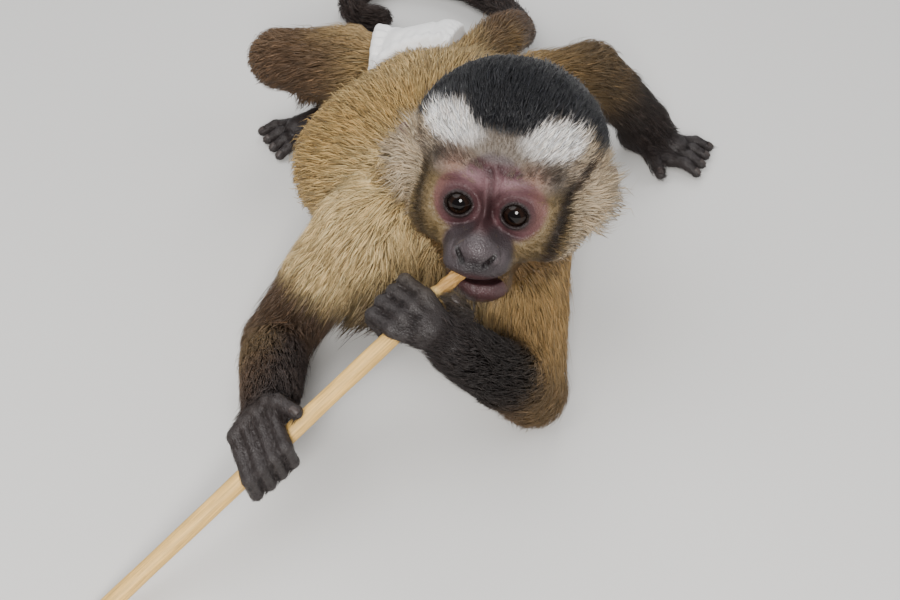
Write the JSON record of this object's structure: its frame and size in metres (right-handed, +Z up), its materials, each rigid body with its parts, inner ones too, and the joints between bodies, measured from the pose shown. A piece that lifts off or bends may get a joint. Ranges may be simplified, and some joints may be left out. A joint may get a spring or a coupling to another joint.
{
  "type": "infant capuchin monkey model",
  "caption": "Still life-size model of an infant tufted capuchin in a white diaper, lying on its elbows and gnawing a round stick held in both hands.",
  "frame": {"origin": "middle of the underside of the whole box, on the floor", "axes": "+Z up, the animal looks towards -Y with its tail towards +Y, +X is its left side"},
  "size_m": [0.2186, 0.3638, 0.1092],
  "materials": {
    "wood": "plain pale wood",
    "eye": "wet, glossy",
    "cap_coat": "short soft fur",
    "ear_skin": "bare skin",
    "dark_skin": "bare wrinkled skin",
    "dark_coat": "soft fur",
    "tan_coat": "soft fur",
    "diaper": "soft non-woven"
  },
  "bodies": {
    "root": {"big_toe_left": "dark_skin", "big_toe_right": "dark_skin", "chest": "tan_coat", "diaper": "diaper", "ear_left": "ear_skin", "ear_right": "ear_skin", "eye_left": "eye", "eye_right": "eye", "foot_left": "dark_skin", "foot_right": "dark_skin", "forearm_left": "dark_coat", "forearm_right": "dark_coat", "hand_left": "dark_skin", "hand_right": "dark_skin", "head": "cap_coat", "held_stick": "wood", "index_finger_left": "dark_skin", "index_finger_right": "dark_skin", "little_finger_left": "dark_skin", "little_finger_right": "dark_skin", "middle_finger_left": "dark_skin", "middle_finger_right": "dark_skin", "neck": "tan_coat", "ring_finger_left": "dark_skin", "ring_finger_right": "dark_skin", "shank_left": "dark_coat", "shank_right": "dark_coat", "tail_1": "dark_coat", "tail_2": "dark_coat", "tail_3": "dark_coat", "tail_4": "dark_coat", "thigh_left": "tan_coat", "thigh_right": "tan_coat", "thumb_left": "dark_skin", "thumb_right": "dark_skin", "trunk": "tan_coat", "upper_arm_left": "tan_coat", "upper_arm_right": "tan_coat"}
  },
  "joints": []
}
